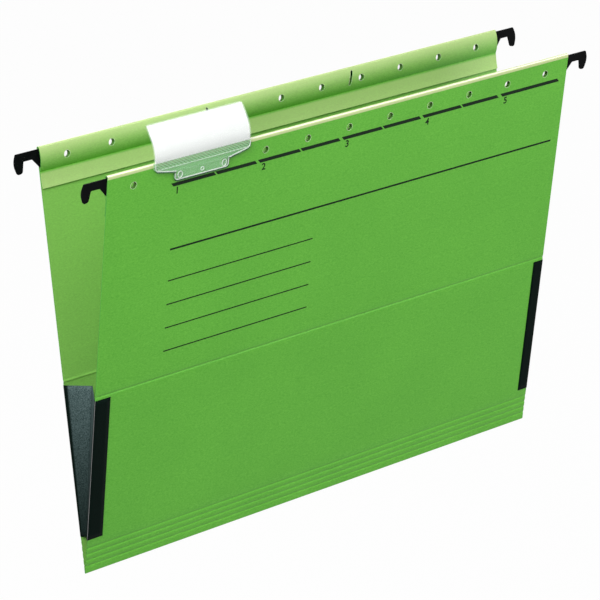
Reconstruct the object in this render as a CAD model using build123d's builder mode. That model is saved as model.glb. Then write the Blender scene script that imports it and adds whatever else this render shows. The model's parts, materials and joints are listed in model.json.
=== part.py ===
"""Hanging file folder: a creased card sheet on two hooked rails, with cloth gussets and a clear index tab."""

import os
from math import acos, cos, radians, sin, tan

from build123d import *

# Card sheet: two leaves that meet at the bottom fold
panel_width = 317.0  # along the rails
panel_height = 232.6  # up the slope, from the bottom fold to the top of the hem
half_angle = 7.5  # each leaf from the vertical, as the folder hangs open
opening_spare = 2.0  # how much further the gussets let the two leaves open
card = 0.4
crease_height = 106.5  # crease across each leaf, up the slope
crease_groove = 0.25  # side of the square groove that a crease or score leaves in the outer face
score_count = 4
first_score = 4.2  # lowest score line, up the slope from the bottom fold
score_pitch = 3.65
fold_clearance = 1.5  # degrees between the two halves of the bottom fold when it is opened furthest

# Hem: the top of each leaf, turned in over its rail and glued down
hem_height = 13.4  # tube that holds the rail
flap_height = 22.4  # lower edge of the glued flap, down from the top
hem_fold_radius = 1.1  # outside of the fold
hem_fold_turn = 164.0  # degrees of the tight fold, before the wall bulges gently back to the leaf

# Tab holes along both hems, and the slits that pinch the rails
hole_pitch = 28.4
hole_margin = 14.0  # the least from a hole's centre to the side edge
hole_radius = 1.9
front_hole_drop = 8.7  # hole centre, down from the top of the hem
back_hole_drop = 7.0
slit_spread = 49.4  # from the middle of the hem to each slit
slit_length = 8.4
slit_width = 1.5
slit_tilt = 15.5  # degrees, with the tops leaning apart
slit_drop = 5.9

# Rails: flat strips with a hook at each end
rail_thickness = 0.8
rail_clearance = 0.12  # to the leaf on one side, and to the fold above
rail_drop = 1.3  # top edge, down from the top of the hem
strip_height = 3.9  # inside the hem, above the holes
hook_reach = 15.9  # from the side edge of the card to the hook's outer side, before its corners are rounded
hook_arm = 4.6  # height of the arm that rests on the cabinet's rail
hook_gap = 5.5  # room for the cabinet's rail between finger and shoulder
hook_finger = 6.4  # width of the finger
hook_length = 10.1  # from the top of the arm to the fingertip
hook_shoulder = 9.6  # height of the shoulder at the end of the hem
shoulder_inset = 8.5  # how far the shoulder runs into the hem
hook_top_slope = 1.9  # how far the outer top corner is cut back
hook_bulge = 1.1  # widest point of the outer side, up from the seat
hook_slant = 2.7  # how far the fingertip lies in from the outer side
hook_tip_rise = 1.9  # slope of the fingertip
hook_flare = 0.5  # how far the finger's inner side leans away from the seat
hook_round = 0.5
hook_side_round = 4.0
hook_tip_round = 1.2

# Gussets: black cloth, glued round the side edges of both leaves
cloth = 0.22
web_top = 104.5  # up the slope
web_bottom = 20.5
web_slack = 0.3  # degrees that each half keeps spare when the leaves are opened furthest
web_trim = 1.1  # each half is cut back from the middle fold
web_clearance = 0.03  # between the folded cloth and the leaf's inner face
web_start = 0.15  # from the turning line at the leaf's edge to the cloth
left_margin = 9.6  # glued width on the leaves
right_margin = 7.0

# Index tab: a curved clear pocket with a foot that pegs into two holes
tab_pair = 2  # its first hole, counted from the left
tab_width = 61.4
tab_wall = 0.4
tab_pocket = 0.6
tab_gap = 0.1  # to the leaf's outer face
tab_foot = 34.8
tab_foot_thickness = 0.9
tab_foot_drop = 11.6  # lower edge of the foot, down from the top of the hem
tab_root_drop = 6.4  # where the foot meets the body
tab_corner_drop = 4.1  # lower corners of the body
tab_bend_rise = 0.9  # start of the bend, up from the top of the hem
tab_bend_radius = 18.0
tab_lean = 40.0
tab_tip = 7.8  # straight part above the bend
tab_round = 2.4
foot_round = 1.6
root_round = 0.5
peg_clearance = 0.2
peg_length = 1.5
pad_width = 3.4  # raised over each peg
pad_height = 4.2
pad_round = 0.6
stud_radius = 1.3  # between the pads
stud_height = 0.3  # of the stud and the pads
upper_rib_drop = 3.2  # two ribs across the root of the body, down from the top of the hem
lower_rib_drop = 5.3
rib_width = 0.5
rib_height = 0.2

# Label: white paper in the tab's pocket
label = 0.25
label_drop = 0.4  # lower edge, down from the start of the bend
label_clearance = 0.3  # to the ends of the pocket
label_inset = 0.4  # from each open side of the tab

# Counts and places that follow from these sizes
hole_count = 1 + int((panel_width - 2 * hole_margin) / hole_pitch)
lean_sin = sin(radians(half_angle))
lean_cos = cos(radians(half_angle))
seat_height = panel_height - rail_drop - hook_arm  # underside of the hook arms, up the slope
fold_z = -seat_height * lean_cos  # the origin is midway between the four hook seats
fold_turn = 90 - half_angle - opening_spare / 2 - fold_clearance / 2
web_hinge = cloth / 2 + web_clearance
web_angle = half_angle + opening_spare / 2 + web_slack  # between a leaf's edge and the middle fold
web_fold = acos(tan(radians(half_angle)) / tan(radians(web_angle)))
hem_depth = hem_height / 2  # deeper than the hem on either side of the leaf
tab_thickness = 2 * tab_wall + tab_pocket
tab_center = (tab_pair - hole_count / 2) * hole_pitch
tab_spine = card + tab_gap + tab_thickness / 2
tab_bend_start = panel_height + tab_bend_rise
label_bottom = tab_bend_start - label_drop


class Leaf:
    """One slanted half of the folder: sign is -1 for the front and 1 for the back."""

    def __init__(self, sign, hole_drop):
        self.outward = Vector(0, sign * lean_cos, -lean_sin)
        self.up = Vector(0, sign * lean_sin, lean_cos)
        self.bottom = Vector(0, 0, fold_z)
        self.hole_height = panel_height - hole_drop
        # Seen from outside, with x along the leaf and y up the slope from the bottom fold
        self.face = Plane(self.bottom, x_dir=(-sign, 0, 0), z_dir=self.outward)
        # Seen from one side, with x outwards from the inner face and y up the slope
        self.section = Plane(self.bottom, x_dir=self.outward, z_dir=(sign, 0, 0))
        self.right = -sign


front = Leaf(-1, front_hole_drop)
back = Leaf(1, back_hole_drop)


def crease_mark(height):
    """Groove that a crease or a score leaves across the outer face of a leaf's section."""
    with Locations((card, height)):
        Rectangle(crease_groove, crease_groove, rotation=45, mode=Mode.SUBTRACT)


def upper_panel(leaf):
    """Upper part of a leaf, with the hem tube, its glued flap, the tab holes and the slits."""
    tube_bottom = panel_height - hem_height
    flap_bottom = panel_height - flap_height
    with BuildPart() as panel:
        with BuildSketch(leaf.section):
            with BuildLine():
                fold_center = (card - hem_fold_radius, panel_height - hem_fold_radius)
                fold = CenterArc(fold_center, hem_fold_radius, 0, hem_fold_turn)
                bulge = TangentArc(fold @ 1, (-card, tube_bottom), tangent=fold % 1)
                Polyline(bulge @ 1, (card, tube_bottom), fold @ 0)
            make_face()
            offset(amount=-card, kind=Kind.INTERSECTION, mode=Mode.SUBTRACT)
            with Locations((0, crease_height)):
                Rectangle(card, tube_bottom - crease_height, align=(Align.MIN, Align.MIN))
            with Locations((-card, flap_bottom)):
                Rectangle(card, tube_bottom - flap_bottom, align=(Align.MIN, Align.MIN))
            crease_mark(crease_height)
        extrude(amount=panel_width / 2, both=True)
        with BuildSketch(leaf.face):
            with Locations((0, leaf.hole_height)):
                with GridLocations(hole_pitch, 0, hole_count, 1):
                    Circle(hole_radius)
        extrude(amount=hem_depth, both=True, mode=Mode.SUBTRACT)
        with BuildSketch(leaf.face.offset(-rail_clearance)):
            for side in (-1, 1):
                with Locations((side * slit_spread, panel_height - slit_drop)):
                    SlotOverall(slit_length, slit_width, rotation=90 - side * slit_tilt)
        extrude(amount=-hem_depth, mode=Mode.SUBTRACT)
    return panel.part


def lower_panel(leaf):
    """Lower part of a leaf, from its half of the rounded bottom fold up to the crease."""
    with BuildPart() as panel:
        with BuildSketch(leaf.section):
            Rectangle(card, crease_height, align=(Align.MIN, Align.MIN))
            with BuildLine():
                lip = CenterArc((0, 0), card, -fold_turn, fold_turn)
                Polyline(lip @ 1, (0, 0), lip @ 0)
            make_face()
            crease_mark(crease_height)
            for line in range(score_count):
                crease_mark(first_score + line * score_pitch)
        extrude(amount=panel_width / 2, both=True)
    return panel.part


def rail(leaf):
    """Flat strip inside a hem, with a shoulder and a hook at each end."""
    top = panel_height - rail_drop
    outer = panel_width / 2 + hook_reach
    seat_outer = outer - hook_finger
    seat_inner = seat_outer - hook_gap
    shoulder_bottom = top - hook_shoulder
    shoulder_end = panel_width / 2 - shoulder_inset
    strip_bottom = top - strip_height
    tip = top - hook_length
    with BuildPart() as strip:
        with BuildSketch(leaf.face.offset(-rail_clearance)):
            with BuildLine():
                FilletPolyline(
                    (0, top),
                    (outer - hook_top_slope, top),
                    (outer, seat_height + hook_bulge),
                    (outer - hook_slant, tip),
                    (seat_outer + hook_flare, tip + hook_tip_rise),
                    (seat_outer, seat_height),
                    (seat_inner, seat_height),
                    radius=[hook_round, hook_side_round, hook_tip_round, hook_tip_round, hook_round],
                )
                Polyline(
                    (seat_inner, seat_height),
                    (panel_width / 2, shoulder_bottom),
                    (shoulder_end, shoulder_bottom),
                    (shoulder_end - strip_height, strip_bottom),
                    (0, strip_bottom),
                )
                mirror(about=Plane.YZ)
            make_face()
        extrude(amount=-rail_thickness)
    return strip.part


def gusset_margin(leaf, side, width):
    """Glued edge of a gusset: a strip on the outer face, turned round the leaf's side edge."""
    reach = side * leaf.right * panel_width / 2
    turn = side * leaf.right * cloth
    height = web_top - web_bottom
    with BuildPart() as margin:
        with BuildSketch(leaf.face.offset(card)):
            with Locations((reach + turn - side * leaf.right * (width + cloth) / 2, web_bottom)):
                Rectangle(width + cloth, height, align=(Align.CENTER, Align.MIN))
        extrude(amount=cloth)
        with BuildSketch(leaf.face):
            with Locations((reach + turn / 2, web_bottom)):
                Rectangle(cloth, height, align=(Align.CENTER, Align.MIN))
        extrude(amount=card)
    return margin.part


def gusset_web(leaf, side):
    """Half of a gusset's web, from the leaf's side edge to the middle fold, leaning into the folder."""
    across = leaf.outward * -cos(web_fold) + Vector(-side * sin(web_fold), 0, 0)
    corner = leaf.bottom + Vector(side * panel_width / 2, 0, 0) - leaf.outward * web_hinge
    widening = tan(radians(web_angle))
    with BuildPart() as web:
        with BuildSketch(Plane(corner, x_dir=across, z_dir=across.cross(leaf.up))):
            with BuildLine():
                Polyline(
                    (web_start, web_bottom),
                    (web_bottom * widening - web_trim, web_bottom),
                    (web_top * widening - web_trim, web_top),
                    (web_start, web_top),
                    close=True,
                )
            make_face()
        extrude(amount=cloth / 2, both=True)
    return web.part


def tab_curve(bottom, tip_length):
    """Middle line of the tab's curved body in the front leaf's section, from a height to the tip."""
    Line((tab_spine, bottom), (tab_spine, tab_bend_start))
    bend = CenterArc((tab_spine - tab_bend_radius, tab_bend_start), tab_bend_radius, 0, tab_lean)
    PolarLine(bend @ 1, tip_length, 90 + tab_lean)


def index_tab(leaf):
    """Clear holder: a curved pocket open at both sides, ribs across its root, and a foot with two pegs."""
    body_bottom = panel_height - tab_root_drop
    foot_bottom = panel_height - tab_foot_drop
    foot_face = card + tab_gap
    body_face = foot_face + tab_thickness
    tip_height = tab_bend_start + tab_bend_radius * sin(radians(tab_lean)) + tab_tip * cos(radians(tab_lean))
    top = tip_height + tab_thickness / 2 * sin(radians(tab_lean))
    corner_height = panel_height - tab_corner_drop
    peg_pair = (tab_center, leaf.hole_height)
    with BuildPart() as tab:
        with BuildSketch(leaf.section.offset(-tab_center)):
            with BuildLine() as body:
                tab_curve(body_bottom, tab_tip)
            trace(body.line, line_width=tab_thickness)
            with Locations((foot_face, foot_bottom)):
                Rectangle(tab_foot_thickness, tab_foot_drop - tab_root_drop, align=(Align.MIN, Align.MIN))
            with BuildLine() as pocket:
                tab_curve(label_bottom - label_clearance, tab_tip - tab_wall)
            trace(pocket.line, line_width=tab_pocket, mode=Mode.SUBTRACT)
            for drop in (upper_rib_drop, lower_rib_drop):
                with Locations((body_face, panel_height - drop)):
                    Rectangle(rib_height, rib_width, align=(Align.MIN, Align.CENTER))
        extrude(amount=tab_width / 2, both=True)
        with BuildSketch(leaf.face.shift_origin(leaf.bottom + Vector(tab_center, 0, 0))):
            with BuildLine():
                FilletPolyline(
                    (0, foot_bottom),
                    (tab_foot / 2, foot_bottom),
                    (tab_foot / 2, body_bottom),
                    (tab_width / 2, corner_height),
                    (tab_width / 2, top),
                    (0, top),
                    radius=[foot_round, root_round, tab_round, tab_round],
                )
                mirror(about=Plane.YZ)
            make_face()
        extrude(amount=panel_height, both=True, mode=Mode.INTERSECT)
        with BuildSketch(leaf.face.offset(foot_face)):
            with Locations(peg_pair):
                with GridLocations(hole_pitch, 0, 2, 1):
                    Circle(hole_radius - peg_clearance)
        extrude(amount=-peg_length)
        with BuildSketch(leaf.face.offset(foot_face + tab_foot_thickness)):
            with Locations(peg_pair):
                Circle(stud_radius)
                with GridLocations(hole_pitch, 0, 2, 1):
                    RectangleRounded(pad_width, pad_height, pad_round)
        extrude(amount=stud_height)
    return tab.part


def tab_label(leaf):
    """Paper strip that follows the tab's pocket."""
    with BuildPart() as strip:
        with BuildSketch(leaf.section.offset(-tab_center)):
            with BuildLine() as middle:
                tab_curve(label_bottom, tab_tip - tab_wall - label_clearance)
            trace(middle.line, line_width=label)
        extrude(amount=tab_width / 2 - label_inset, both=True)
    return strip.part


pieces = {
    "front_upper_panel": upper_panel(front),
    "front_lower_panel": lower_panel(front),
    "back_lower_panel": lower_panel(back),
    "back_upper_panel": upper_panel(back),
    "front_rail": rail(front),
    "back_rail": rail(back),
    "index_tab": index_tab(front),
    "tab_label": tab_label(front),
}
for side_name, side, width in (("left", -1, left_margin), ("right", 1, right_margin)):
    for leaf_name, leaf in (("front", front), ("back", back)):
        pieces[f"{side_name}_{leaf_name}_margin"] = gusset_margin(leaf, side, width)
        pieces[f"{side_name}_{leaf_name}_web"] = gusset_web(leaf, side)

os.makedirs("parts", exist_ok=True)
for name, piece in pieces.items():
    piece.label = name
    export_step(piece, f"parts/{name}.step")
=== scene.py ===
"""Looks of the hanging file folder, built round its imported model, in metres and in the same frame."""

import json
import math

import bpy
from mathutils import Matrix, Quaternion, Vector


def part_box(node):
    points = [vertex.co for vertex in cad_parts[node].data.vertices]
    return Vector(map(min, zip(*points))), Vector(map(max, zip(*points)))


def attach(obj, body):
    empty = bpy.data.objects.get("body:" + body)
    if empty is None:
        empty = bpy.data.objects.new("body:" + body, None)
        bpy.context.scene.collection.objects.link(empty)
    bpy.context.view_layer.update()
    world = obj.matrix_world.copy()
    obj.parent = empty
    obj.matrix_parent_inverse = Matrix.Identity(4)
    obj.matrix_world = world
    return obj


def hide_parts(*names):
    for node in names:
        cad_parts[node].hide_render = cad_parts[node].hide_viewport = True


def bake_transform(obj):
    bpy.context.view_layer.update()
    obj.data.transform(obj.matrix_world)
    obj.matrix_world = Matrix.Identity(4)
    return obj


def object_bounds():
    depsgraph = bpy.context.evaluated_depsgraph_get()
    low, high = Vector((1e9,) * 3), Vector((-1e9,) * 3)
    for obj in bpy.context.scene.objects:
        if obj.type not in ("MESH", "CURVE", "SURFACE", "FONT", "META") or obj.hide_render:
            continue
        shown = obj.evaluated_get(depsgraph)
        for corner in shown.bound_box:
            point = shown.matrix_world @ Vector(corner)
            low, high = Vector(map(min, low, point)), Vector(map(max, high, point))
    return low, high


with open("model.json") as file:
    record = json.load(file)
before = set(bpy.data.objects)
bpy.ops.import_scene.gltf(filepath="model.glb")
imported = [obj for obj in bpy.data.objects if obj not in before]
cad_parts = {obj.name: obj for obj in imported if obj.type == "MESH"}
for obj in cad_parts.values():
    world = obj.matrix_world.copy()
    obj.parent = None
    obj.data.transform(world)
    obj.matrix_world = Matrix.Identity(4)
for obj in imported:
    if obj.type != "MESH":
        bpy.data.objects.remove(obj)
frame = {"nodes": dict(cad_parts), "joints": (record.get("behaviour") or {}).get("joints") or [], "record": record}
cad_low, cad_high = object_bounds()
nodes = frame["nodes"]
joints = {joint["name"]: joint for joint in frame["joints"]}
mounts = {mount["name"]: mount for mount in frame["record"]["mounts"]}

MM = 0.001

# Card sheet
CARD = 0.4 * MM
CREASE_WIDTH = 1.2 * MM
CREASE_DEPTH = 0.3 * MM
SCORE_WIDTH = 1.3 * MM
SCORE_DEPTH = 0.3 * MM
SCORE_COUNT = 4
FIRST_SCORE = 4.2 * MM
SCORE_PITCH = 3.65 * MM
FOLD_CORE = 0.04 * MM  # inner radius of the bottom fold
PRESS_STEPS = 5  # rows on each side of a pressed line
PLAIN_START = 5 * FIRST_SCORE  # first row of the plain card over the scores
PLAIN_MARGIN = 4 * CREASE_WIDTH  # from the crease to the next row of plain card
LOWER_ROWS = 8  # of plain card under the crease, and over it
UPPER_ROWS = 10
COLUMN_WIDTH = 9 * MM  # of plain card between two holes
BOTTOM_FOLD_STEPS = 14
BOTTOM_FOLD_COLUMNS = 12

# Hem
PANEL_HEIGHT = 232.6 * MM
HEM_HEIGHT = 13.4 * MM
FLAP_HEIGHT = 22.4 * MM
HEM_FOLD_RADIUS = 1.1 * MM
HEM_FOLD_TURN = math.radians(164)
HEM_FOLD_START = PANEL_HEIGHT - HEM_FOLD_RADIUS
HEM_FOLD_STEPS = 14
OVER_HOLE_ROWS = 2  # of the hem's inner wall over its holes, and under them
UNDER_HOLE_ROWS = 3
GLUE_LINE = PANEL_HEIGHT - HEM_HEIGHT
HEM_PAINTED_HIGHLIGHT = 0.42  # painted highlight: how pale the tube's card is painted at the fold, fading down to the glue line
# painted highlight: how pale the glued flap is painted
FLAP_PAINTED_HIGHLIGHT = 0.33
FLAP_LIFT = 0.5 * MM  # how far the flap's lower edge stands off the leaf
FLAP_ROWS = 6
FOLD_WEAR_AND_HIGHLIGHT = 0.95  # how pale the fold's crest is, and where round the fold: partly worn coating where its surface is stretched, partly a painted highlight
FOLD_HIGHLIGHT_TURN = math.radians(55)
FOLD_HIGHLIGHT_SPREAD = math.radians(24)
CREST_BAND = 0.9 * MM  # pale band from just under the fold, on the outer face, to beyond its top: partly worn coating, partly a painted highlight
CREST_WEAR_AND_HIGHLIGHT = 0.6
CREST_TURN = math.radians(112)
CREST_ROWS = (2.0, 1.15, 0.9, 0.5)  # how far rows lie under the fold, in bands
# painted highlight: how pale the leaves' inner faces are painted
INNER_PAINTED_HIGHLIGHT = 0.12
RIM_WIDTH = 0.16 * MM  # torn pale fibre round the punched holes and slits
HOLE_COUNT = 11
HOLE_PITCH = 28.4 * MM
HOLE_RADIUS = 1.9 * MM
HOLE_CELL = 3.0 * MM  # half the width of the patch round a hole
CELL_STEPS = 6
SLIT_SPREAD = 49.4 * MM
SLIT_LENGTH = 8.4 * MM
SLIT_WIDTH = 1.5 * MM
SLIT_TILT = math.radians(15.5)
SLIT_DROP = 5.9 * MM
SLIT_MARGIN = 0.4 * MM  # from a slit's upper end to the row over it
SLIT_CELL = 3.2 * MM  # half the width of the patch round a slit

# Rails
RAIL = 0.8 * MM
RAIL_CLEARANCE = 0.12 * MM  # to the leaf's inner face
RAIL_DROP = 1.3 * MM
RAIL_BEVEL = 0.1 * MM
RAIL_BEVEL_STEPS = 2
STRIP_HEIGHT = 3.9 * MM
HOOK_ARM = 4.6 * MM
HOOK_GAP = 5.5 * MM
HOOK_FINGER = 6.4 * MM
HOOK_LENGTH = 11.0 * MM  # from the top of the arm to the fingertip
HOOK_SHOULDER = 9.6 * MM
SHOULDER_INSET = 8.5 * MM
HOOK_TOP_SLOPE = 1.9 * MM
HOOK_BULGE = 0.2 * MM  # widest point of the outer side, down from the seat
HOOK_SLANT = 2.0 * MM
HOOK_TIP_RISE = 0.6 * MM
HOOK_FLARE = 1.2 * MM
HOOK_ROUND = 0.5 * MM
HOOK_SIDE_ROUND = 9.0 * MM
HOOK_SIDE_CUT = 0.55 * MM  # what that rounding takes off the widest point
HOOK_TIP_ROUND = 1.5 * MM
ROUND_STEPS = 8

# Gussets
CLOTH = 0.22 * MM
WEB_TOP = 104.5 * MM
WEB_BOTTOM = 20.5 * MM
WEB_FOLD = math.radians(31.7)  # of the web into the folder, from straight across
WEB_HINGE = 0.14 * MM  # from the leaf's inner face to the line on which the web turns
WEB_CLEARANCE = 0.3 * CLOTH  # from the web's middle fold to the folder's middle
EDGE_REACH = CARD / 2 + CLOTH / 2  # of the cloth round the card's side edge
MARGINS = {"left": 9.6 * MM, "right": 7.0 * MM}
GUSSET_BEND = 0.3 * MM  # depth over which the cloth bends from its margin to its web
GUSSET_ROWS = 28
GLUED_STEPS = 4
EDGE_STEPS = 5
HINGE_STEPS = 3
WEB_STEPS = 12
TURN_COLUMNS = (6, 7, 8)  # columns of the cloth that lie on the turn round the card's edge
# painted highlight: how pale the cloth is painted on its turn round the card's edge
CLOTH_TURN_HIGHLIGHT = 0.55
WEB_SHEEN_FADE = 1.5  # how fast the web's painted grey sheen fades downwards

# Index tab
TAB_FOOT = 34.8 * MM
TAB_FOOT_DROP = 11.6 * MM
TAB_ROOT_DROP = 6.4 * MM
TAB_CORNER_DROP = 4.1 * MM
TAB_ROUND = 2.4 * MM
TAB_CORNER_TURN = math.radians(79)
FOOT_ROUND = 1.6 * MM
TAB_FACE = 1.9 * MM  # front of the body and of the foot, out from the leaf's inner face
FOOT_FACE = 1.4 * MM
TAB_BEAD = 0.28 * MM
# painted contact shadow: thickness of a dark green line under the tab's outline
TAB_SHADOW_LINE = 0.45 * MM
TAB_SHADOW_SHIFT = (0.3 * MM, -0.9 * MM)  # of the painted shadow line from the bead, along and up
RIB_SLIMNESS = 0.8  # of the ribs' beads beside the outline's
STUD_RADIUS = 1.0 * MM
PAD_HALF_WIDTH = 1.4 * MM
PAD_HALF_HEIGHT = 1.8 * MM
PAD_FACE = 1.7 * MM
BAND_EDGE = 0.2 * MM
TAB_RIB_DROP = 3.2 * MM
TAB_RIB_REACH = 29.4 * MM
BEAD_STEPS = 3
CORNER_STEPS = 6
RING_STEPS = 20

# Print on the front leaf
PRINT_LIFT = 0.02 * MM
DASH_HEIGHT = 218.15 * MM
DASH_THICKNESS = 2.05 * MM
DASH_STARTS = (-117.2 * MM, -60.8 * MM, -4.1 * MM, 52.5 * MM, 109.8 * MM)
DASH_LENGTHS = (27.5 * MM, 26.0 * MM)
DASH_GAP = 1.0 * MM
DASH_SLANT = 1.8 * MM  # how far the lower corners lie to the right of the upper ones
LAST_DASH_END = 152.7 * MM
NUMBER_HEIGHT = 214.3 * MM
NUMBER_SIZE = 5.4 * MM
NUMBER_BOLDNESS = 0.13 * MM
NUMBER_SHIFT = 3.4 * MM
LINE_START = -115.9 * MM
TITLE_LINE_HEIGHT = 181.2 * MM
TITLE_LINE_LENGTH = 268.6 * MM
TITLE_LINE_THICKNESS = 1.1 * MM
NOTE_LINE_HEIGHTS = (163.1 * MM, 149.3 * MM, 135.6 * MM, 121.9 * MM)
NOTE_LINE_LENGTH = 96.8 * MM
NOTE_LINE_THICKNESS = 0.7 * MM

# Stage
FLOOR_DROP = 450 * MM
FLOOR_SIZE = 12.0
FLOOR_GREY = (0.60, 0.60, 0.60, 1)
FLOOR_WHITENESS = 0.98  # share of plain white where the camera sees the floor
WHITE = (1, 1, 1, 1)
WORLD_LIGHT = 0.1
LIGHT_AIM = Vector((0, 0, -100)) * MM
CAMERA_AIM = Vector((-10.15, 0, -107.2)) * MM
CAMERA_DISTANCE = 1738.5 * MM
CAMERA_AZIMUTH = math.radians(-39.455)
CAMERA_ELEVATION = math.radians(21.602)
CAMERA_ROLL = math.radians(-0.305)
CAMERA_LENS = 191.86
CAMERA_SENSOR = 36.0
CAMERA_NEAR = 0.05
CAMERA_FAR = 50.0

# Material slots of a card piece
FACE_SLOT = 0
CUT_SLOT = 1
TORN_SLOT = 2

# Places that the frame gives
FOLD = Vector(joints["bottom_fold"]["pos_m"])
FRONT_OUTWARD = Vector(joints["tab_unclip"]["axis"])
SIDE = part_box("front_lower_panel")[1].x


class Leaf:
    """One slanted half of the folder: places run along it, up its slope and outwards from its inner face."""

    def __init__(self, name, outward, hole_mount):
        self.name = name
        self.outward = outward
        self.up = Vector((0, math.copysign(outward.z, outward.y), abs(outward.y)))
        self.lower = f"{name}_lower"
        self.upper = f"{name}_upper"
        self.hole_height = (Vector(mounts[hole_mount]["pos_m"]) - FOLD).dot(self.up)
        crease = Vector(joints[f"{name}_crease"]["pos_m"])
        self.crease_height = (crease - FOLD).dot(self.up)

    def place(self, along, height, outwards):
        return FOLD + Vector((along, 0, 0)) + self.up * height + self.outward * outwards


front = Leaf("front", FRONT_OUTWARD, "front_tab_holes_4_5")
back = Leaf("back", Vector((0, -FRONT_OUTWARD.y, FRONT_OUTWARD.z)), "back_tab_holes_1_2")


# Small helpers for meshes and materials


def steps(low, high, count):
    return [low + (high - low) * i / count for i in range(count + 1)]


def grid_faces(rows, columns):
    """Faces of a grid whose points are listed row by row."""
    faces = []
    for row in range(rows - 1):
        for first in range(row * columns, (row + 1) * columns - 1):
            faces.append((first, first + 1, first + columns + 1, first + columns))
    return faces


def flipped(faces):
    return [tuple(reversed(face)) for face in faces]


def new_piece(name, points, faces, materials, slots=None, smooth=True):
    mesh = bpy.data.meshes.new(name)
    mesh.from_pydata([tuple(p) for p in points], [], faces)
    for material in materials:
        mesh.materials.append(material)
    if slots:
        mesh.polygons.foreach_set("material_index", slots)
    mesh.polygons.foreach_set("use_smooth", [smooth] * len(mesh.polygons))
    mesh.validate()
    piece = bpy.data.objects.new(name, mesh)
    bpy.context.scene.collection.objects.link(piece)
    return piece


def set_point_values(piece, name, values):
    attribute = piece.data.attributes.new(name, "FLOAT", "POINT")
    attribute.data.foreach_set("value", values)


def smooth_card(piece):
    """Shades a card's faces smooth and its cut and torn edges flat."""
    for polygon in piece.data.polygons:
        polygon.use_smooth = polygon.material_index == FACE_SLOT


def thicken(points_out, points_in, faces, torn):
    """A sheet from its two sides, with cut rims of their own: returns points, faces and their slots."""
    count = len(points_out)
    uses = {}
    for face in faces:
        for a, b in zip(face, face[1:] + face[:1]):
            uses.setdefault((min(a, b), max(a, b)), []).append((a, b))
    borders = [pairs[0] for pairs in uses.values() if len(pairs) == 1]
    points = list(points_out) + list(points_in)
    rim_point = {}
    for vertex in sorted({vertex for edge in borders for vertex in edge}):
        rim_point[vertex] = len(points)
        points += [points_out[vertex], points_in[vertex]]
    every = list(faces) + [tuple(i + count for i in face) for face in flipped(faces)]
    slots = [TORN_SLOT if mark else FACE_SLOT for mark in torn + torn]
    for a, b in borders:
        every.append((rim_point[b], rim_point[a], rim_point[a] + 1, rim_point[b] + 1))
        slots.append(CUT_SLOT)
    return points, every, slots


def new_material(name, **values):
    material = bpy.data.materials.new(name)
    material.use_nodes = True
    shader = material.node_tree.nodes["Principled BSDF"]
    sockets = {socket.name.lower().replace(" ", "_"): socket for socket in shader.inputs}
    for key, value in values.items():
        sockets[key].default_value = value
    return material, material.node_tree, shader


def add_node(tree, kind, inputs=None, **properties):
    made = tree.nodes.new(kind)
    for key, value in properties.items():
        setattr(made, key, value)
    for key, value in (inputs or {}).items():
        if isinstance(value, bpy.types.NodeSocket):
            tree.links.new(value, made.inputs[key])
        else:
            made.inputs[key].default_value = value
    return made


def add_noise(tree, vector, scale, detail=2.0, roughness=0.5):
    values = {"Vector": vector, "Scale": scale, "Detail": detail, "Roughness": roughness}
    return add_node(tree, "ShaderNodeTexNoise", values).outputs["Fac"]


def add_ramp(tree, value, low, high, low_color, high_color):
    ramp = add_node(tree, "ShaderNodeValToRGB", {"Fac": value})
    ramp.color_ramp.elements[0].position = low
    ramp.color_ramp.elements[0].color = low_color
    ramp.color_ramp.elements[1].position = high
    ramp.color_ramp.elements[1].color = high_color
    return ramp.outputs["Color"]


def add_mix(tree, factor, first, second, blend="MIX"):
    """A mix of two colours: sockets 0, 6 and 7 of the node are its factor and its colours."""
    values = {0: factor, 6: first, 7: second}
    return add_node(tree, "ShaderNodeMix", values, data_type="RGBA", blend_type=blend).outputs[2]


def add_math(tree, operation, first, second):
    return add_node(tree, "ShaderNodeMath", {0: first, 1: second}, operation=operation).outputs[0]


def add_wave(tree, vector, scale, direction):
    values = {"Vector": vector, "Scale": scale}
    wave = add_node(tree, "ShaderNodeTexWave", values, wave_type="BANDS", bands_direction=direction)
    return wave.outputs["Fac"]


def add_attribute(tree, name):
    return add_node(tree, "ShaderNodeAttribute", attribute_name=name).outputs["Fac"]


def add_map_range(tree, value, low, high, to_low, to_high):
    values = {"Value": value, "From Min": low, "From Max": high, "To Min": to_low, "To Max": to_high}
    return add_node(tree, "ShaderNodeMapRange", values).outputs["Result"]


def scaled_place(tree, scale):
    """Object coordinates, stretched by a scale along each axis."""
    place = add_node(tree, "ShaderNodeTexCoord").outputs["Object"]
    return add_node(tree, "ShaderNodeMapping", {"Vector": place, "Scale": scale}).outputs["Vector"]


def add_bump(tree, shader, height, distance, strength=1.0):
    values = {"Height": height, "Distance": distance, "Strength": strength}
    bump = add_node(tree, "ShaderNodeBump", values)
    tree.links.new(bump.outputs["Normal"], shader.inputs["Normal"])


# Materials


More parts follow.
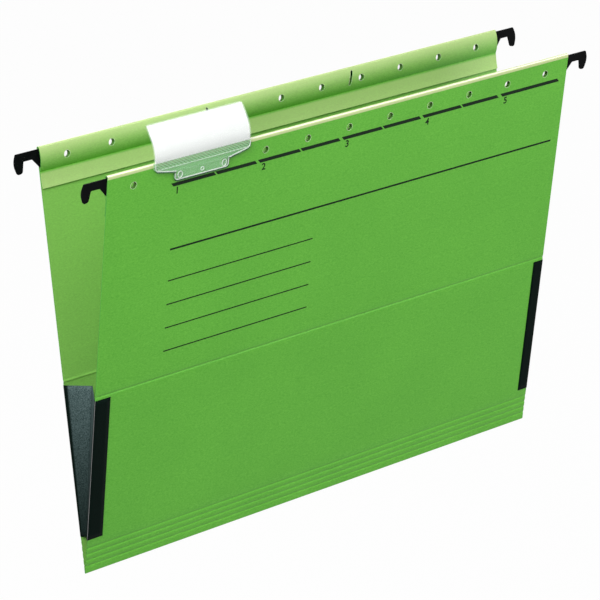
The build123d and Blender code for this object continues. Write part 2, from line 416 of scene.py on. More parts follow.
def card_material():
    """Coloured card: fibre flecks, faint clouding, and paler where its point values say: worn coating and a
    painted highlight on the fold, a painted highlight on the hem, the flap and the inner faces.
    """
    material, tree, shader = new_material("card", specular_ior_level=0.3)
    place = scaled_place(tree, (1, 1, 1))
    fibres = add_noise(tree, scaled_place(tree, (900, 900, 2200)), 1.0, 3.0, 0.6)
    clouds = add_noise(tree, place, 18.0, 2.0)
    grain = add_noise(tree, place, 3200.0, 2.0, 0.65)
    green = add_ramp(tree, fibres, 0.3, 0.7, (0.085, 0.385, 0.0235, 1), (0.149, 0.512, 0.048, 1))
    shade = add_ramp(tree, clouds, 0.35, 0.65, (0.93, 0.95, 0.93, 1), WHITE)
    green = add_mix(tree, 1.0, green, shade, "MULTIPLY")
    # The point values paint the card paler: worn coating and a painted highlight on the fold, a painted highlight
    # on the hem, the flap and the inner faces.
    wear = add_attribute(tree, "wear")
    color = add_mix(tree, wear, green, (0.85, 0.77, 0.48, 1))
    # Near white on the fold's crest: a painted highlight.
    crest_highlight = add_map_range(tree, wear, 0.62, 0.85, 0.0, 1.0)
    color = add_mix(tree, crest_highlight, color, (0.86, 0.86, 0.76, 1))
    tree.links.new(color, shader.inputs["Base Color"])
    tree.links.new(add_map_range(tree, grain, 0.3, 0.7, 0.36, 0.48), shader.inputs["Roughness"])
    add_bump(tree, shader, grain, 0.02 * MM, 0.5)
    return material


def edge_material(name, low_color, high_color):
    """Cut or torn edge of the card: rough fibre between two colours."""
    material, tree, shader = new_material(name, roughness=0.85)
    flecks = add_noise(tree, scaled_place(tree, (1, 1, 1)), 2600.0, 3.0, 0.6)
    color = add_ramp(tree, flecks, 0.3, 0.7, low_color, high_color)
    tree.links.new(color, shader.inputs["Base Color"])
    add_bump(tree, shader, flecks, 0.03 * MM, 0.5)
    return material


def cloth_material():
    """Black woven cloth, grey on its web as a painted sheen and pale grey on its turn round the card's edge as a
    painted highlight.
    """
    material, tree, shader = new_material("gusset_cloth", specular_ior_level=0.03)
    across = add_wave(tree, scaled_place(tree, (1, 1, 1)), 420.0, "Z")
    along = add_wave(tree, scaled_place(tree, (1, 1, 0)), 420.0, "DIAGONAL")
    weave = add_math(tree, "MULTIPLY", across, along)
    mottle = add_noise(tree, scaled_place(tree, (1, 1, 1)), 1500.0, 3.0, 0.7)
    black = add_ramp(tree, mottle, 0.42, 0.72, (0.0006, 0.004, 0.0025, 1), (0.002, 0.008, 0.006, 1))
    sheen_grey = add_ramp(tree, mottle, 0.35, 0.72, (0.023, 0.043, 0.042, 1), (0.115, 0.168, 0.167, 1))
    # The web's grey, fading downwards, is a painted sheen.
    web_sheen = add_attribute(tree, "web_sheen")
    wear = add_attribute(tree, "wear")
    color = add_mix(tree, web_sheen, black, sheen_grey)
    # Pale grey on the turn round the card's edge is a painted highlight.
    color = add_mix(tree, wear, color, (0.38, 0.38, 0.38, 1))
    tree.links.new(color, shader.inputs["Base Color"])
    tree.links.new(add_map_range(tree, mottle, 0.3, 0.7, 0.42, 0.62), shader.inputs["Roughness"])
    add_bump(tree, shader, add_math(tree, "ADD", weave, mottle), 0.05 * MM, 0.6)
    return material


def rail_material():
    """Dark coated metal with a fine orange-peel surface."""
    material, tree, shader = new_material("rail_coat", specular_ior_level=0.03)
    peel = add_noise(tree, scaled_place(tree, (1, 1, 1)), 1400.0, 2.0)
    smears = add_noise(tree, scaled_place(tree, (1, 1, 1)), 160.0, 2.0)
    color = add_ramp(tree, smears, 0.3, 0.7, (0.0012, 0.0016, 0.0018, 1), (0.003, 0.0036, 0.004, 1))
    tree.links.new(color, shader.inputs["Base Color"])
    tree.links.new(add_map_range(tree, smears, 0.3, 0.7, 0.45, 0.60), shader.inputs["Roughness"])
    add_bump(tree, shader, peel, 0.02 * MM, 0.4)
    return material


def ink_material():
    """Dark printed ink that takes some of the card's fibre."""
    material, tree, shader = new_material("print_ink", roughness=0.7, specular_ior_level=0.1)
    flecks = add_noise(tree, scaled_place(tree, (1, 1, 1)), 2600.0, 3.0, 0.7)
    color = add_ramp(tree, flecks, 0.25, 0.75, (0.004, 0.010, 0.005, 1), (0.012, 0.028, 0.012, 1))
    tree.links.new(color, shader.inputs["Base Color"])
    return material


def clear_plastic_material():
    """Clear plastic with fine scuffs, and a milky hatched band between the label and the rib under it."""
    material, tree, shader = new_material("clear_plastic")
    scuffs = add_noise(tree, scaled_place(tree, (300, 1500, 1500)), 1.0, 3.0)
    place = scaled_place(tree, (1, 1, 1))
    height = add_node(tree, "ShaderNodeSeparateXYZ", {"Vector": place}).outputs["Z"]
    label_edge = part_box("tab_label")[0].z
    rib_edge = front.place(0, PANEL_HEIGHT - TAB_RIB_DROP, TAB_FACE).z
    under_label = add_map_range(tree, height, label_edge - BAND_EDGE, label_edge, 1.0, 0.0)
    over_rib = add_map_range(tree, height, rib_edge - BAND_EDGE, rib_edge, 0.0, 1.0)
    band = add_math(tree, "MULTIPLY", under_label, over_rib)
    color = add_mix(tree, under_label, (0.90, 0.97, 0.92, 1), (0.50, 0.88, 0.52, 1))
    color = add_mix(tree, band, color, (0.38, 0.66, 0.38, 1))
    tree.links.new(color, shader.inputs["Base Color"])
    lines = add_wave(tree, scaled_place(tree, (0.65, 0, 1)), 420.0, "DIAGONAL")
    flow = add_wave(tree, place, 285.0, "Z")
    streaks = add_map_range(tree, flow, 0.0, 1.0, 0.22, 0.36)
    milky = add_map_range(tree, under_label, 0.0, 1.0, 0.14, streaks)
    hatch = add_map_range(tree, lines, 0.3, 0.7, 0.35, 0.62)
    tree.links.new(add_map_range(tree, band, 0.0, 1.0, milky, hatch), shader.inputs["Alpha"])
    tree.links.new(add_map_range(tree, scuffs, 0.3, 0.7, 0.10, 0.22), shader.inputs["Roughness"])
    return material


def plastic_edge_material(name, alpha, low_color, high_color):
    """Moulded edge of the clear plastic: a whitish bead, whose colour is a painted highlight, or the dark green
    line under it, which is a painted contact shadow.
    """
    material, tree, shader = new_material(name, alpha=alpha, roughness=0.25)
    flecks = add_noise(tree, scaled_place(tree, (1, 1, 1)), 900.0, 2.0)
    color = add_ramp(tree, flecks, 0.3, 0.7, low_color, high_color)
    tree.links.new(color, shader.inputs["Base Color"])
    return material


def paper_material():
    """White label paper."""
    material, tree, shader = new_material("label_paper", roughness=0.8)
    fibres = add_noise(tree, scaled_place(tree, (1, 1, 1)), 2400.0, 3.0, 0.6)
    color = add_ramp(tree, fibres, 0.3, 0.7, (0.74, 0.74, 0.745, 1), (0.80, 0.80, 0.80, 1))
    tree.links.new(color, shader.inputs["Base Color"])
    add_bump(tree, shader, fibres, 0.01 * MM, 0.4)
    return material


CARD_FACE = card_material()
# The cut edges are coloured darker than the card's face: painted shade along them.
SHADED_CARD_EDGE = edge_material("card_edge", (0.045, 0.26, 0.025, 1), (0.08, 0.35, 0.05, 1))
TORN_EDGE = edge_material("torn_edge", (0.48, 0.60, 0.32, 1), (0.80, 0.83, 0.66, 1))
CLOTH_BLACK = cloth_material()
RAIL_COAT = rail_material()
INK = ink_material()
CLEAR = clear_plastic_material()
# Whitish beads on the tab's edges, rib and rings: their colour is a painted highlight.
CLEAR_EDGE_HIGHLIGHT = plastic_edge_material("plastic_edge", 0.6, (0.80, 0.86, 0.82, 1), (0.93, 0.95, 0.94, 1))
# Dark green line under the tab's outline: a painted contact shadow.
CLEAR_PAINTED_SHADOW = plastic_edge_material("plastic_rim", 0.95, (0.002, 0.08, 0.010, 1), (0.004, 0.12, 0.018, 1))
PAPER = paper_material()


# Card leaves: a flat sheet with its holes and slits, folded along its section


def press(height, lines):
    """How deep pressed lines, given by their height, width and depth, go in at a height."""
    return sum(deep * math.exp(-(((height - at) / (wide / 2)) ** 2)) for at, wide, deep in lines)


class Section:
    """The card's section: rows of an outer and an inner point, as outwards and height, and how pale they are
    painted, as worn coating and painted highlight.
    """

    def __init__(self, leaf):
        self.rows = []
        self.hole_band = steps(leaf.hole_height - HOLE_CELL, leaf.hole_height + HOLE_CELL, CELL_STEPS)
        self.add_leaf(leaf)
        self.add_fold()
        self.add_wall()
        self.add_flap()

    def add(self, outer, inner, wear):
        self.rows.append((outer, inner, wear))

    def add_leaf(self, leaf):
        """The flat leaf, pressed in at its crease and, on its outer face alone, at its score lines."""
        crease = [(leaf.crease_height, CREASE_WIDTH, CREASE_DEPTH)]
        scores = [(FIRST_SCORE + i * SCORE_PITCH, SCORE_WIDTH, SCORE_DEPTH) for i in range(SCORE_COUNT)]
        heights = {FOLD_CORE}
        for at, *_ in crease + scores:
            heights.update(at + CREASE_WIDTH * k / PRESS_STEPS for k in range(-PRESS_STEPS, PRESS_STEPS + 1))
        plain_end = self.hole_band[0] - HOLE_CELL
        heights.update(steps(PLAIN_START, leaf.crease_height - PLAIN_MARGIN, LOWER_ROWS))
        heights.update(steps(leaf.crease_height + PLAIN_MARGIN, plain_end, UPPER_ROWS))
        heights.update(self.hole_band)
        heights.update(HEM_FOLD_START - CREST_BAND * share for share in CREST_ROWS)
        heights = sorted(heights)
        self.outer_band = heights.index(self.hole_band[0])
        for height in heights:
            ridge = press(height, crease)
            groove = ridge + press(height, scores)
            # The band under the fold is painted pale: partly worn coating, partly a painted highlight.
            paleness = CREST_WEAR_AND_HIGHLIGHT if height > HEM_FOLD_START - CREST_BAND else 0.0
            self.add(Vector((CARD - groove, height)), Vector((-ridge, height)), paleness)

    def add_fold(self):
        """The hem's fold, palest on its crest: partly worn coating where its surface is stretched, partly a
        painted highlight.
        """
        center = Vector((CARD - HEM_FOLD_RADIUS, HEM_FOLD_START))
        for turn in steps(0, HEM_FOLD_TURN, HEM_FOLD_STEPS):
            ray = Vector((math.cos(turn), math.sin(turn)))
            crest = FOLD_WEAR_AND_HIGHLIGHT * math.exp(-(((turn - FOLD_HIGHLIGHT_TURN) / FOLD_HIGHLIGHT_SPREAD) ** 2))
            paleness = max(crest, CREST_WEAR_AND_HIGHLIGHT if turn < CREST_TURN else HEM_PAINTED_HIGHLIGHT)
            self.add(center + ray * HEM_FOLD_RADIUS, center + ray * (HEM_FOLD_RADIUS - CARD), paleness)

    def add_wall(self):
        """The hem's inner wall, which bulges on one arc from the fold down to the glue line."""
        start = self.rows[-1][0]
        normal = Vector((math.cos(HEM_FOLD_TURN), math.sin(HEM_FOLD_TURN)))
        chord = Vector((-CARD, GLUE_LINE)) - start
        radius = chord.length_squared / (-2 * chord.dot(normal))
        middle = start - normal * radius
        slit_top = PANEL_HEIGHT - SLIT_DROP + SLIT_LENGTH / 2 + SLIT_MARGIN
        over_holes = steps(slit_top, self.hole_band[-1], OVER_HOLE_ROWS)[:-1]
        under_holes = steps(self.hole_band[0], GLUE_LINE, UNDER_HOLE_ROWS)[1:]
        self.inner_top = len(self.rows)
        self.inner_band = self.inner_top + len(over_holes)
        for height in over_holes + self.hole_band[::-1] + under_holes:
            reach = math.sqrt(radius ** 2 - (height - middle.y) ** 2)
            point = Vector((middle.x - reach, height))
            # The wall is painted pale as a painted highlight, fading from the fold down to the glue line.
            fade = (height - GLUE_LINE) / (start.y - GLUE_LINE)
            self.add(point, point + (middle - point).normalized() * CARD, HEM_PAINTED_HIGHLIGHT * fade)
        self.glue_row = len(self.rows) - 1

    def add_flap(self):
        """The flap that is glued to the leaf, and lifts at its lower edge."""
        flap_end = PANEL_HEIGHT - FLAP_HEIGHT
        for share in steps(0, 1, FLAP_ROWS)[1:]:
            height = GLUE_LINE + (flap_end - GLUE_LINE) * share
            lift = FLAP_LIFT * share ** 3
            # The flap is painted pale all over: a painted highlight.
            self.add(Vector((-CARD - lift, height)), Vector((-lift, height)), FLAP_PAINTED_HIGHLIGHT)

    def height_of(self, row):
        return self.rows[row][0].y

    def between(self, height, band):
        """The section between two rows of a band, for a point on the rim of a hole or slit."""
        first = self.outer_band if band == self.outer_band else self.inner_top
        for row in range(first, band + CELL_STEPS + 1):
            a = self.height_of(row)
            b = self.height_of(row + 1)
            if min(a, b) <= height <= max(a, b):
                share = (height - a) / (b - a)
                outer, inner, paleness = self.rows[row]
                next_outer, next_inner, next_paleness = self.rows[row + 1]
                wear = paleness + (next_paleness - paleness) * share
                return outer.lerp(next_outer, share), inner.lerp(next_inner, share), wear
        raise ValueError("no row at this height")


def slit_rim(across, along, wider):
    """A point of a slit's rim for a point on the border of a square from -1 to 1: its ends are round."""
    half = SLIT_WIDTH / 2 + wider
    straight = (SLIT_LENGTH - SLIT_WIDTH) / 2
    reach = straight * along
    if abs(along) == 1:
        reach += math.copysign(half * math.sqrt(1 - across ** 2), along)
    return Vector((across * half, reach))


def leaf_columns():
    """Places along the leaf: fine round each hole and slit, coarse between them."""
    columns = {-SIDE, SIDE}
    hole_cells = []
    slit_cells = []
    for i in range(HOLE_COUNT):
        at = (i - (HOLE_COUNT - 1) / 2) * HOLE_PITCH
        cell = steps(at - HOLE_CELL, at + HOLE_CELL, CELL_STEPS)
        hole_cells.append(cell)
        columns.update(cell)
    for side in (-1, 1):
        cell = steps(side * SLIT_SPREAD - SLIT_CELL, side * SLIT_SPREAD + SLIT_CELL, CELL_STEPS)
        slit_cells.append((side, cell))
        columns.update(cell)
    columns = sorted(columns)
    extra = []
    for a, b in zip(columns, columns[1:]):
        count = max(1, round((b - a) / COLUMN_WIDTH))
        extra += steps(a, b, count)[:-1]
    return extra + [columns[-1]], hole_cells, slit_cells


class Sheet:
    """A leaf's card as a grid of section rows and columns, with patches left out for holes and slits."""

    def __init__(self, leaf):
        self.leaf = leaf
        self.section = Section(leaf)
        self.columns, self.hole_cells, self.slit_cells = leaf_columns()
        self.wide = len(self.columns)
        self.outs = []
        self.ins = []
        self.wear = []
        self.skipped = set()
        self.rim_faces = []
        for row in self.section.rows:
            for along in self.columns:
                self.add_point(along, *row)

    def add_point(self, along, outer, inner, paleness):
        self.outs.append(self.leaf.place(along, outer.y, outer.x))
        self.ins.append(self.leaf.place(along, inner.y, inner.x))
        self.wear.append(paleness)

    def index(self, column, row):
        return row * self.wide + column

    def cut(self, cell, first_row, last_row):
        """Leaves out the faces of a patch and returns its border, as columns and rows in turn."""
        first = self.columns.index(cell[0])
        last = first + CELL_STEPS
        for row in range(first_row, last_row):
            self.skipped.update(self.index(column, row) for column in range(first, last))
        border = [(column, first_row) for column in range(first, last)]
        border += [(last, row) for row in range(first_row, last_row)]
        border += [(column, last_row) for column in range(last, first, -1)]
        border += [(first, row) for row in range(last_row, first_row, -1)]
        return border

    def punch(self, border, rims, band):
        """Fills a patch from its border to a hole: each rim is a cut point and the torn point beside it."""
        first = len(self.outs)
        for rim in rims:
            for along, height in rim:
                self.add_point(along, *self.section.between(height, band))
        count = len(border)
        for i in range(count):
            j = (i + 1) % count
            cut_i = first + 2 * i
            cut_j = first + 2 * j
            self.rim_faces.append((self.index(*border[i]), self.index(*border[j]), cut_j + 1, cut_i + 1))
            self.rim_faces.append((cut_i + 1, cut_j + 1, cut_j, cut_i))

    def punch_hole(self, cell, band):
        border = self.cut(cell, band, band + CELL_STEPS)
        middle = (cell[0] + cell[-1]) / 2
        height = self.leaf.hole_height
        rims = []
        for column, row in border:
            corner = Vector((self.columns[column] - middle, self.section.height_of(row) - height))
            away = corner.normalized()
            reaches = [away * radius for radius in (HOLE_RADIUS, HOLE_RADIUS + RIM_WIDTH)]
            rims.append([(middle + reach.x, height + reach.y) for reach in reaches])
        self.punch(border, rims, band)

    def punch_slit(self, side, cell):
        first_row = self.section.inner_top
        last_row = self.section.inner_band + CELL_STEPS + 1
        border = self.cut(cell, first_row, last_row)
        middle = side * SLIT_SPREAD
        height = PANEL_HEIGHT - SLIT_DROP
        lean = Matrix.Rotation(-side * SLIT_TILT, 2)
        rims = []
        for column, row in border:
            across = round((self.columns[column] - middle) / SLIT_CELL, 6)
            along = 1 - 2 * (row - first_row) / (last_row - first_row)
            reaches = [lean @ slit_rim(across, along, wider) for wider in (0.0, RIM_WIDTH)]
            rims.append([(middle + reach.x, height + reach.y) for reach in reaches])
        self.punch(border, rims, self.section.inner_band)

    def all_faces(self):
        """The grid's faces and then those round its holes, where every second one is torn."""
        grid = grid_faces(len(self.section.rows), self.wide)
        plain = [face for face in grid if face[0] not in self.skipped]
        torn = [0] * len(plain) + [0, 1] * (len(self.rim_faces) // 2)
        return plain + self.rim_faces, torn

    def glue_line(self):
        row = self.section.glue_row
        return set(range(self.index(0, row), self.index(self.wide, row)))


def card_leaf(leaf):
    """The leaf as one folded sheet."""
    sheet = Sheet(leaf)
    for band in (sheet.section.outer_band, sheet.section.inner_band):
        for cell in sheet.hole_cells:
            sheet.punch_hole(cell, band)
    for side, cell in sheet.slit_cells:
        sheet.punch_slit(side, cell)
    faces, torn = sheet.all_faces()
    if leaf is back:
        faces = flipped(faces)
    points, faces, slots = thicken(sheet.outs, sheet.ins, faces, torn)
    piece = new_piece(f"{leaf.name}_card", points, faces, [CARD_FACE, SHADED_CARD_EDGE, TORN_EDGE], slots)
    side_count = len(sheet.wear)
    rim_paleness = [0.0] * (len(points) - 2 * side_count)
    # The inner faces are painted paler: a painted highlight.
    set_point_values(piece, "wear", sheet.wear + [INNER_PAINTED_HIGHLIGHT] * side_count + rim_paleness)
    smooth_card(piece)
    glue_line = sheet.glue_line()
    for edge in piece.data.edges:
        edge.use_edge_sharp = glue_line.issuperset(edge.vertices)
    start = leaf.place(0, leaf.crease_height - CREASE_WIDTH, 0)
    end = leaf.place(0, leaf.crease_height + CREASE_WIDTH, 0)
    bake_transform(piece)
    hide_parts(f"{leaf.name}_lower_panel", f"{leaf.name}_upper_panel")


def bottom_fold_strip():
    """The card's turn under the folder from one leaf to the other."""
    leaf_turn = math.atan2(-front.outward.y, -front.outward.z)
    rows = [(front.place(0, FOLD_CORE, CARD), front.place(0, FOLD_CORE, 0))]
    for turn in steps(-leaf_turn, leaf_turn, BOTTOM_FOLD_STEPS):
        ray = Vector((0, math.sin(turn), -math.cos(turn)))
        rows.append((FOLD + ray * CARD, FOLD + ray * FOLD_CORE))
    rows.append((back.place(0, FOLD_CORE, CARD), back.place(0, FOLD_CORE, 0)))
    columns = [Vector((x, 0, 0)) for x in steps(-SIDE, SIDE, BOTTOM_FOLD_COLUMNS)]
    outs = [outer + along for outer, inner in rows for along in columns]
    ins = [inner + along for outer, inner in rows for along in columns]
    faces = flipped(grid_faces(len(rows), len(columns)))
    points, faces, slots = thicken(outs, ins, faces, [0] * len(faces))
    piece = new_piece("bottom_fold_card", points, faces, [CARD_FACE, SHADED_CARD_EDGE], slots)
    set_point_values(piece, "wear", [0.0] * len(points))
    smooth_card(piece)
    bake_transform(piece)


for leaf in (front, back):
    card_leaf(leaf)
bottom_fold_strip()


# Gussets: each half is glued to the leaf's outer face, turned round its edge and folded in


def gusset_edge(margin):
    """The cloth from its margin round the card's side edge: places beyond that edge and out from the leaf."""
    glued = [Vector((-margin + margin * i / GLUED_STEPS, CARD + CLOTH / 2)) for i in range(GLUED_STEPS + 1)]
    turn = [Vector((CLOTH / 2 * math.cos(a), CARD / 2 + EDGE_REACH * math.sin(a)))
            for a in steps(math.pi / 2, 0, EDGE_STEPS)[1:]]
    hinge = [Vector((CLOTH / 2 * (1 - share), CARD / 2 - (CARD / 2 + WEB_HINGE) * share))
             for share in steps(0, 1, HINGE_STEPS)[1:]]
    return glued + turn + hinge


def gusset_half(leaf, side_name, side):
    margin = MARGINS[side_name]
    edge = gusset_edge(margin)
    across = Vector((-math.sin(WEB_FOLD), -math.cos(WEB_FOLD)))
    levels = steps(WEB_BOTTOM, WEB_TOP, GUSSET_ROWS)
    points = []
    wear = []
    web_sheen = []
    for level in levels:
        hinge = leaf.place(0, level, -WEB_HINGE)
        width = (abs(hinge.y) - WEB_CLEARANCE) / (math.cos(WEB_FOLD) * abs(leaf.outward.y))
        web = [edge[-1] + across * width * i / WEB_STEPS for i in range(1, WEB_STEPS + 1)]
        for i, (beyond, outwards) in enumerate(edge + web):
            points.append(leaf.place(side * (SIDE + beyond), level, outwards))
            # The turn round the card's edge takes a painted highlight.
            wear.append(CLOTH_TURN_HIGHLIGHT if i in TURN_COLUMNS else 0.0)
            # The web takes a painted sheen that fades downwards.
            web_sheen.append((level / WEB_TOP) ** WEB_SHEEN_FADE if i > len(edge) else 0.0)
    faces = grid_faces(len(levels), len(edge) + WEB_STEPS)
    piece = new_piece(f"{side_name}_{leaf.name}_gusset_cloth", points, faces, [CLOTH_BLACK])
    set_point_values(piece, "wear", wear)
    set_point_values(piece, "web_sheen", web_sheen)
    solidify = piece.modifiers.new("thickness", "SOLIDIFY")
    solidify.thickness = CLOTH
    solidify.offset = 0
    start = leaf.place(side * SIDE, 0, 0)
    end = leaf.place(side * SIDE, 0, -GUSSET_BEND)
    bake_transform(piece)
    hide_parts(f"{side_name}_{leaf.name}_margin", f"{side_name}_{leaf.name}_web")


for side_name, side in (("left", -1), ("right", 1)):
    for leaf in (front, back):
        gusset_half(leaf, side_name, side)


# Print on the front leaf: index marks, their numbers and the ruled lines


def bars(name, marks, slant=0.0):
    """Flat printed bars, given as start, length, height up the slope and thickness, with slanted ends."""
    points = []
    faces = []
    for start, length, height, thick in marks:
        first = len(points)
        for x, y in ((0, -0.5), (1, -0.5), (1, 0.5), (0, 0.5)):
            points.append(front.place(start + x * length - y * slant, height + y * thick, CARD + PRINT_LIFT))
        faces.append((first, first + 1, first + 2, first + 3))
    piece = new_piece(name, points, faces, [INK], smooth=False)
    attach(piece, "front_upper")


dashes = []
for start in DASH_STARTS[:-1]:
    for length in DASH_LENGTHS:
        dashes.append((start, length, DASH_HEIGHT, DASH_THICKNESS))
        start += length + DASH_GAP
dashes.append((DASH_STARTS[-1], LAST_DASH_END - DASH_STARTS[-1], DASH_HEIGHT, DASH_THICKNESS))
bars("index_marks", dashes, DASH_SLANT)
lines = [(LINE_START, TITLE_LINE_LENGTH, TITLE_LINE_HEIGHT, TITLE_LINE_THICKNESS)]
lines += [(LINE_START, NOTE_LINE_LENGTH, height, NOTE_LINE_THICKNESS) for height in NOTE_LINE_HEIGHTS]
bars("ruled_lines", lines)


def index_number(number, along):
    text = bpy.data.curves.new(f"number_{number}", "FONT")
    text.body = str(number)
    text.size = NUMBER_SIZE
    text.offset = NUMBER_BOLDNESS
    text.align_x = "CENTER"
    text.align_y = "CENTER"
    carrier = bpy.data.objects.new("number_text", text)
    bpy.context.scene.collection.objects.link(carrier)
    bpy.context.view_layer.update()
    mesh = bpy.data.meshes.new_from_object(carrier.evaluated_get(bpy.context.evaluated_depsgraph_get()))
    bpy.data.objects.remove(carrier)
    place = front.place(along, NUMBER_HEIGHT, CARD + PRINT_LIFT)
    axes = Matrix((Vector((1, 0, 0)), front.up, front.outward)).transposed().to_4x4()
    mesh.transform(Matrix.Translation(place) @ axes)
    mesh.materials.clear()
    mesh.materials.append(INK)
    piece = bpy.data.objects.new(f"index_number_{number}", mesh)
    bpy.context.scene.collection.objects.link(piece)
    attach(piece, "front_upper")


for number, start in enumerate(DASH_STARTS, 1):
    index_number(number, start + NUMBER_SHIFT)


# Rails: flat strips in the hems with a shoulder and a round-tipped hook at each end


def rounded(corners):
    """An outline from its corners, each with its place and the radius of the arc that rounds it."""
    outline = []
    for i, (corner, radius) in enumerate(corners):
        if not radius:
            outline.append(corner)
            continue
        before = (corners[i - 1][0] - corner).normalized()
        after = (corners[(i + 1) % len(corners)][0] - corner).normalized()
        half = before.angle(after) / 2
        reach = radius / math.tan(half)
        center = corner + (before + after).normalized() * radius / math.sin(half)
        first = corner + before * reach - center
        turn = first.angle_signed(corner + after * reach - center)
        outline += [center + Matrix.Rotation(-a, 2) @ first for a in steps(0, turn, ROUND_STEPS)]
    return outline


def hook_outline():
    """Right half of the rail, from the middle of its upper edge round the hook to that of its lower edge."""
    top = PANEL_HEIGHT - RAIL_DROP
    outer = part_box("front_rail")[1].x + HOOK_SIDE_CUT
    seat = top - HOOK_ARM
    tip = top - HOOK_LENGTH
    seat_outer = outer - HOOK_FINGER
    shoulder_bottom = top - HOOK_SHOULDER
    shoulder_end = SIDE - SHOULDER_INSET
    corners = [
        ((0, top), 0),
        ((outer - HOOK_TOP_SLOPE, top), HOOK_ROUND),
        ((outer, seat - HOOK_BULGE), HOOK_SIDE_ROUND),
        ((outer - HOOK_SLANT, tip), HOOK_TIP_ROUND),
        ((seat_outer + HOOK_FLARE, tip + HOOK_TIP_RISE), HOOK_TIP_ROUND),
        ((seat_outer, seat), HOOK_ROUND),
        ((seat_outer - HOOK_GAP, seat), 0),
        ((SIDE, shoulder_bottom), 0),
        ((shoulder_end, shoulder_bottom), 0),
        ((shoulder_end - STRIP_HEIGHT, top - STRIP_HEIGHT), 0),
        ((0, top - STRIP_HEIGHT), 0),
    ]
    return rounded([(Vector(place), radius) for place, radius in corners])


def hooked_rail(leaf):
    half = hook_outline()
    outline = half + [Vector((-p.x, p.y)) for p in reversed(half[1:-1])]
    count = len(outline)
    points = [leaf.place(p.x, p.y, -RAIL_CLEARANCE) for p in outline]
    points += [leaf.place(p.x, p.y, -RAIL_CLEARANCE - RAIL) for p in outline]
    faces = [tuple(reversed(range(count))), tuple(range(count, 2 * count))]
    for i in range(count):
        j = (i + 1) % count
        faces.append((i, j, count + j, count + i))
    if leaf is back:
        faces = flipped(faces)
    piece = new_piece(f"{leaf.name}_hooked_rail", points, faces, [RAIL_COAT], smooth=False)
    bevel = piece.modifiers.new("soft_edges", "BEVEL")
    bevel.width = RAIL_BEVEL
    bevel.segments = RAIL_BEVEL_STEPS
    bevel.limit_method = "ANGLE"
    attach(piece, leaf.upper)
    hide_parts(f"{leaf.name}_rail")


for leaf in (front, back):
    hooked_rail(leaf)


# Tab and label keep the model's own shapes


def finish_node(name, material):
    piece = nodes[name]
    piece.data.materials.clear()
    piece.data.materials.append(material)


finish_node("index_tab", CLEAR)
finish_node("tab_label", PAPER)


# Moulded beads of the tab, whitish as a painted highlight, and a painted shadow line under its outline


def tab_curve(name, runs, thickness, material):
    """Round beads on the tab, each with its points from the tab's middle, its face, slimness and closing."""
    box_low, box_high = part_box("index_tab")
    middle = (box_low.x + box_high.x) / 2
    curve = bpy.data.curves.new(name, "CURVE")
    curve.dimensions = "3D"
    curve.bevel_depth = thickness
    curve.bevel_resolution = BEAD_STEPS
    curve.use_fill_caps = True
    for run, face, slimness, closed in runs:
        spline = curve.splines.new("POLY")
        spline.points.add(len(run) - 1)
        spline.use_cyclic_u = closed
        for point, (x, y) in zip(spline.points, run):
            point.co = (*front.place(middle + x, y, face), 1)
            point.radius = slimness
    curve.materials.append(material)
    piece = bpy.data.objects.new(name, curve)
    bpy.context.scene.collection.objects.link(piece)
    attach(piece, "tab")


def tab_outlines():
    """Lower outlines of the tab's body, right and left, and of its foot, inside its edges by a bead."""
    box_low, box_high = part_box("index_tab")
    body = (box_high.x - box_low.x) / 2 - TAB_BEAD
    foot = TAB_FOOT / 2 - TAB_BEAD
    root = PANEL_HEIGHT - TAB_ROOT_DROP + TAB_BEAD
    corner = PANEL_HEIGHT - TAB_CORNER_DROP + TAB_BEAD
    bottom = PANEL_HEIGHT - TAB_FOOT_DROP + TAB_BEAD
    side = [(body - TAB_ROUND * (1 - math.cos(a)), corner + TAB_ROUND * (1 - math.sin(a)))
            for a in steps(0, TAB_CORNER_TURN, CORNER_STEPS)]
    right = [(body, PANEL_HEIGHT)] + side + [(foot, root)]
    left = [(-x, y) for x, y in right]
    heel = [(foot - FOOT_ROUND * (1 - math.cos(a)), bottom + FOOT_ROUND * (1 - math.sin(a)))
            for a in steps(0, math.pi / 2, CORNER_STEPS)]
    under = [(foot, root)] + heel + [(-x, y) for x, y in reversed(heel)] + [(-foot, root)]
    return [(right, TAB_FACE, 1.0, False), (left, TAB_FACE, 1.0, False), (under, FOOT_FACE, 1.0, False)]


def tab_marks():
    """The rib under the label, and the rings of the stud and of the two pads over the pegs."""
    rib = PANEL_HEIGHT - TAB_RIB_DROP
    marks = [([(TAB_RIB_REACH, rib), (-TAB_RIB_REACH, rib)], TAB_FACE, RIB_SLIMNESS, False)]
    rings = [(0, STUD_RADIUS, STUD_RADIUS)]
    rings += [(side * HOLE_PITCH / 2, PAD_HALF_WIDTH, PAD_HALF_HEIGHT) for side in (-1, 1)]
    for at, half_width, half_height in rings:
        ring = [(at + half_width * math.cos(a), front.hole_height + half_height * math.sin(a))
                for a in steps(0, 2 * math.pi, RING_STEPS)[:-1]]
        marks.append((ring, PAD_FACE, RIB_SLIMNESS, True))
    return marks


tab_curve("tab_bead", tab_outlines() + tab_marks(), TAB_BEAD, CLEAR_EDGE_HIGHLIGHT)
# A dark green line just under the outline: a painted contact shadow.
shift_along, shift_up = TAB_SHADOW_SHIFT
rims = [([(x + shift_along, y + shift_up) for x, y in run], face - TAB_SHADOW_LINE, slimness, closed)
        for run, face, slimness, closed in tab_outlines()]
tab_curve("tab_rim", rims, TAB_SHADOW_LINE, CLEAR_PAINTED_SHADOW)


# Stage: pale floor, soft light and the camera


def seen_directly(tree):
    """1 for what the camera sees, straight or in a reflection or through something clear."""
    path = add_node(tree, "ShaderNodeLightPath")
    seen = path.outputs["Is Camera Ray"]
    for other in ("Is Glossy Ray", "Is Transmission Ray"):
        seen = add_math(tree, "MAXIMUM", seen, path.outputs[other])
    return seen


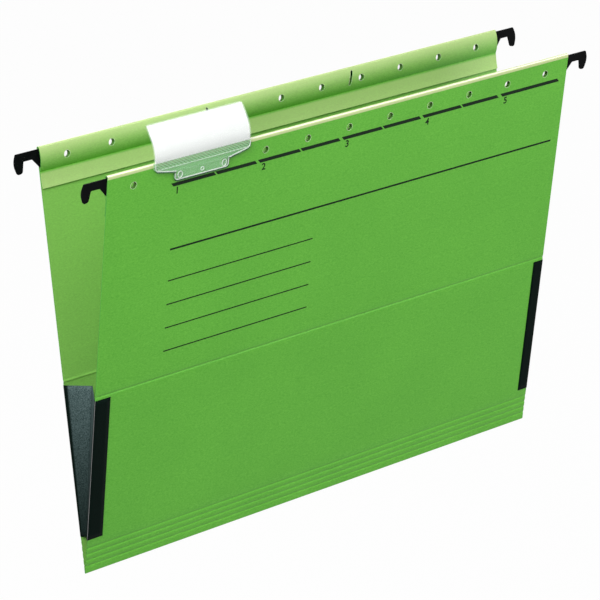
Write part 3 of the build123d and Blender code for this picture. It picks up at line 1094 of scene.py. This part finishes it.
def make_floor():
    half = FLOOR_SIZE / 2
    level = cad_low.z - FLOOR_DROP
    corners = [(-half, -half, level), (half, -half, level), (half, half, level), (-half, half, level)]
    material = bpy.data.materials.new("floor")
    material.use_nodes = True
    tree = material.node_tree
    tree.nodes.clear()
    matte = add_node(tree, "ShaderNodeBsdfDiffuse", {"Color": FLOOR_GREY}).outputs[0]
    glow = add_node(tree, "ShaderNodeEmission", {"Color": WHITE, "Strength": 1.0}).outputs[0]
    whiteness = add_math(tree, "MULTIPLY", seen_directly(tree), FLOOR_WHITENESS)
    mix = add_node(tree, "ShaderNodeMixShader", {0: whiteness, 1: matte, 2: glow})
    output = add_node(tree, "ShaderNodeOutputMaterial")
    tree.links.new(mix.outputs[0], output.inputs["Surface"])
    floor = new_piece("floor", corners, [(0, 1, 2, 3)], [material], smooth=False)


def make_world():
    world = bpy.data.worlds.new("studio")
    bpy.context.scene.world = world
    world.use_nodes = True
    tree = world.node_tree
    background = tree.nodes["Background"]
    background.inputs["Color"].default_value = WHITE
    strength = add_map_range(tree, seen_directly(tree), 0.0, 1.0, WORLD_LIGHT, 1.0)
    tree.links.new(strength, background.inputs["Strength"])


def towards(azimuth, elevation):
    """A direction from the object: azimuth 0 is straight in front, and turns to the right."""
    flat = math.cos(elevation)
    return Vector((math.sin(azimuth) * flat, -math.cos(azimuth) * flat, math.sin(elevation)))


def soft_light(name, azimuth, elevation, distance, size, power):
    lamp = bpy.data.lights.new(name, "AREA")
    lamp.shape = "SQUARE"
    lamp.size = size
    lamp.energy = power
    holder = bpy.data.objects.new(name, lamp)
    bpy.context.scene.collection.objects.link(holder)
    way = towards(math.radians(azimuth), math.radians(elevation))
    holder.location = LIGHT_AIM + way * distance
    holder.rotation_euler = (-way).to_track_quat("-Z", "Y").to_euler()


def make_camera():
    camera = bpy.data.cameras.new("camera")
    camera.lens = CAMERA_LENS
    camera.sensor_width = CAMERA_SENSOR
    camera.clip_start = CAMERA_NEAR
    camera.clip_end = CAMERA_FAR
    holder = bpy.data.objects.new("camera", camera)
    bpy.context.scene.collection.objects.link(holder)
    backward = towards(CAMERA_AZIMUTH, CAMERA_ELEVATION)
    holder.location = CAMERA_AIM + backward * CAMERA_DISTANCE
    holder.rotation_mode = "QUATERNION"
    roll = Quaternion((0, 0, 1), CAMERA_ROLL)
    holder.rotation_quaternion = (-backward).to_track_quat("-Z", "Y") @ roll
    bpy.context.scene.camera = holder


make_floor()
make_world()
soft_light("left", azimuth=-64, elevation=39, distance=1.2, size=0.8, power=19)
soft_light("right", azimuth=60, elevation=50, distance=1.0, size=0.6, power=3.9)
soft_light("front", azimuth=30, elevation=6, distance=0.8, size=0.4, power=1.9)
soft_light("rear", azimuth=165, elevation=35, distance=1.5, size=0.8, power=10.6)
make_camera()
bpy.context.scene.view_settings.view_transform = "Standard"
